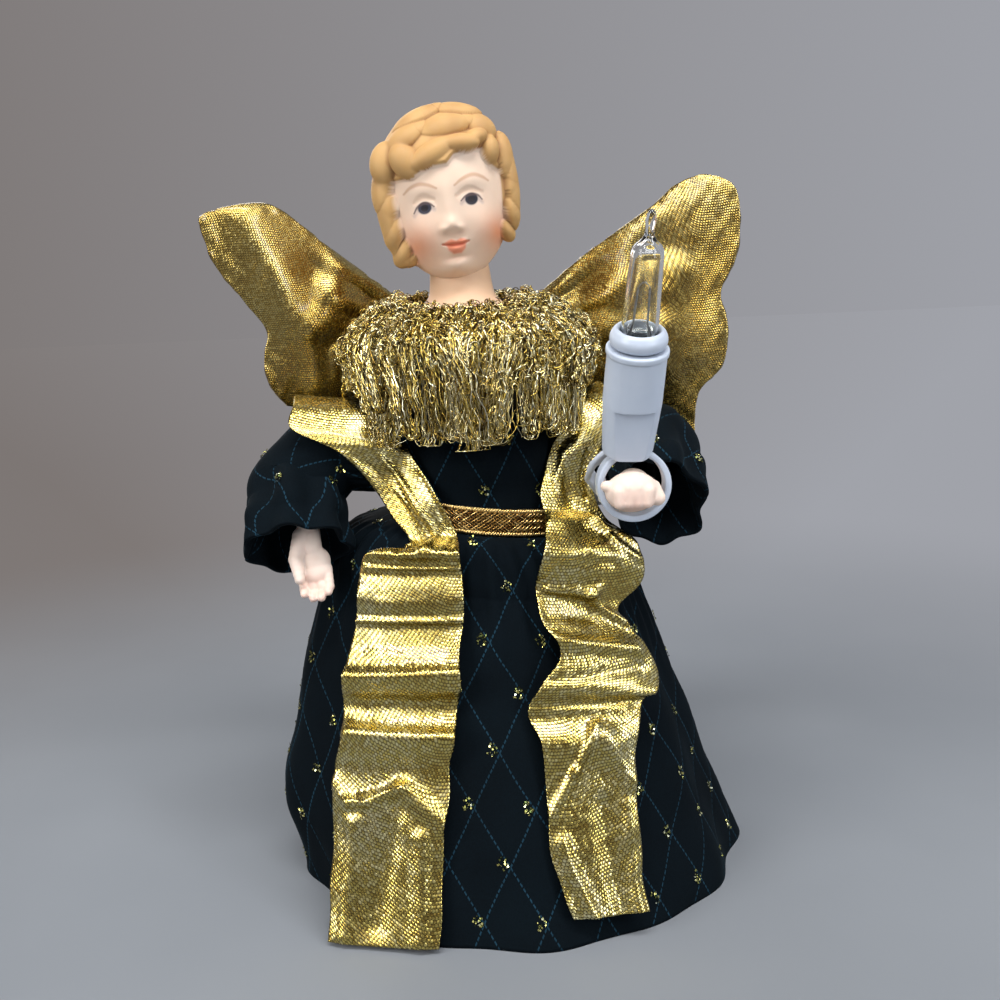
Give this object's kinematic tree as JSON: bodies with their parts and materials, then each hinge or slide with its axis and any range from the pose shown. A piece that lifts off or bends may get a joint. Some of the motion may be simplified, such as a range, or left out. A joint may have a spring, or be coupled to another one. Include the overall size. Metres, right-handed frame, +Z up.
{
  "type": "angel tree topper",
  "caption": "Bisque angel in a velvet dress with gold lame wings and ribbons, holding a small lamp on its own lead, on a card cone that slips over a tree's tip.",
  "frame": {"origin": "middle of the bounding box at the level of the hem and the cone's foot", "axes": "+Z up; -Y the way the face looks; +X to the figure's own left, the lamp hand"},
  "size_m": [0.102, 0.0898, 0.1439],
  "materials": {
    "card": "rolled brown card",
    "velvet": "near-black blue-green velvet, stitched in a diamond lattice with gold dots",
    "stuffing": "polyester stuffing",
    "gold_braid": "woven copper-gold metallic braid",
    "bisque": "unglazed bisque porcelain, painted face and moulded hair",
    "gold_fringe": "looped metallic gold thread",
    "gold_lame": "bright woven gold lame",
    "steel_wire": "drawn soft wire",
    "white_plastic": "smooth moulded white plastic, satin",
    "white_lead": "soft insulated twin wire",
    "brass": "stamped brass strip",
    "clear_glass": "clear drawn glass"
  },
  "bodies": {
    "figure": {"support_cone": "card", "bodice": "velvet", "torso_padding": "stuffing", "skirt": "velvet", "waist_braid": "gold_braid", "bisque_head": "bisque", "collar_heading": "gold_fringe", "collar_fringe": "gold_fringe", "right_ribbon": "gold_lame", "left_ribbon": "gold_lame", "shoulder_wire": "steel_wire", "wing_band": "gold_lame", "back_lead": "white_lead", "lead_plug": "white_plastic", "plug_contact_a": "brass", "plug_contact_b": "brass"},
    "left_arm": {"left_sleeve": "velvet", "left_hand": "bisque", "left_arm_wire": "steel_wire", "lamp_ring": "white_plastic", "lamp_socket": "white_plastic", "socket_contact_a": "brass", "socket_contact_b": "brass", "lamp_lead": "white_lead"},
    "bulb": {"bulb_base": "white_plastic", "bulb_glass": "clear_glass", "bulb_filament": "steel_wire", "bulb_lead_a": "steel_wire", "bulb_lead_b": "steel_wire"},
    "right_arm": {"right_sleeve": "velvet", "right_hand": "bisque", "right_arm_wire": "steel_wire"},
    "left_wing": {"left_wing": "gold_lame", "left_wing_wire": "steel_wire"},
    "right_wing": {"right_wing": "gold_lame", "right_wing_wire": "steel_wire"}
  },
  "joints": [
    {"name": "left_arm_raise", "type": "hinge", "parent": "figure", "child": "left_arm", "pos_m": [-0.0006, 0.00316, 0.0815], "axis": [-1, 0, 0], "range_deg": [-5, 30]},
    {"name": "bulb_pull", "type": "slide", "parent": "left_arm", "child": "bulb", "axis": [0.037, -0.3802, 0.9242], "range_m": [0, 0.013]},
    {"name": "right_arm_raise", "type": "hinge", "parent": "figure", "child": "right_arm", "pos_m": [-0.0006, 0.00316, 0.0815], "axis": [-1, 0, 0], "range_deg": [0, 20]},
    {"name": "left_wing_swing", "type": "hinge", "parent": "figure", "child": "left_wing", "pos_m": [0.00287, 0.02416, 0.0985], "axis": [0, 0, 1], "range_deg": [-3, 30]},
    {"name": "right_wing_swing", "type": "hinge", "parent": "figure", "child": "right_wing", "pos_m": [-0.00573, 0.02416, 0.0985], "axis": [0, 0, -1], "range_deg": [-3, 30]}
  ]
}
